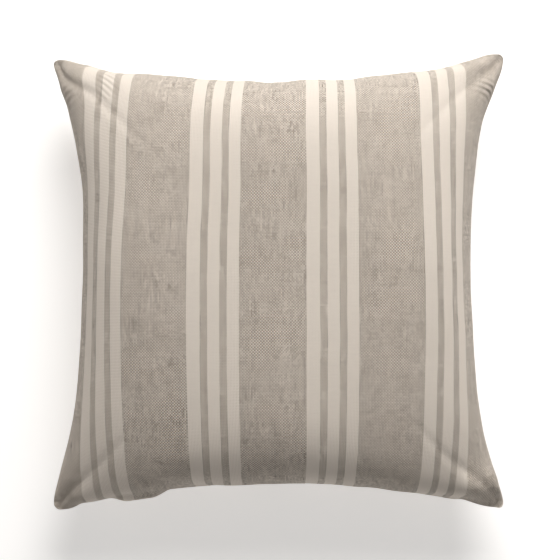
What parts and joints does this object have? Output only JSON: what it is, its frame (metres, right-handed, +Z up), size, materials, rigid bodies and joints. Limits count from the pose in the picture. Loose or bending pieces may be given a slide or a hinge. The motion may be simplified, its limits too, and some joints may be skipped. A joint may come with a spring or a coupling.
{
  "type": "throw pillow",
  "caption": "Square knife-edge throw pillow, striped woven cover with a concealed zip in its bottom seam, over a stuffed insert.",
  "frame": {"origin": "centre of the resting face, on the surface the pillow lies on", "axes": "+Z up out of the front panel, +Y towards the top edge, -Y towards the seam with the zip, +X to the right"},
  "size_m": [0.4804, 0.4844, 0.184],
  "materials": {
    "cover_cloth": "plain weave, ivory weft, taupe and ivory warp stripes",
    "sewing_thread": "spun polyester thread",
    "zipper_tape": "woven tape",
    "zipper_coil": "dyed monofilament",
    "zipper_metal": "satin",
    "insert_cloth": "plain white cloth",
    "insert_thread": "spun polyester thread",
    "filling": "loose fibre",
    "label_cloth": "blank satin ribbon"
  },
  "bodies": {
    "cover": {"cover_front_panel": "cover_cloth", "cover_back_panel": "cover_cloth", "cover_seam_thread": "sewing_thread", "cover_overlock_thread": "sewing_thread", "zipper_tape_upper": "zipper_tape", "zipper_tape_lower": "zipper_tape", "zipper_coil_upper": "zipper_coil", "zipper_coil_lower": "zipper_coil", "zipper_stitching": "sewing_thread", "zipper_top_stops": "zipper_metal", "zipper_bottom_stop": "zipper_metal", "insert_shell_front": "insert_cloth", "insert_shell_back": "insert_cloth", "insert_seam_thread": "insert_thread", "insert_closing_stitch": "insert_thread", "insert_filling": "filling", "care_label": "label_cloth", "insert_tag": "label_cloth"},
    "slider": {"zipper_slider_body": "zipper_metal"},
    "pull": {"zipper_pull_tab": "zipper_metal"}
  },
  "joints": [
    {"name": "slider_travel", "type": "hinge", "parent": "cover", "child": "slider", "pos_m": [0, -1.22656, 0.084], "axis": [0, 0, -1], "range_deg": [0, 18.15]},
    {"name": "pull_swing", "type": "hinge", "parent": "slider", "child": "pull", "pos_m": [-0.15908, -0.23093, 0.084], "axis": [0, 0, -1], "range_deg": [0, 180]}
  ]
}
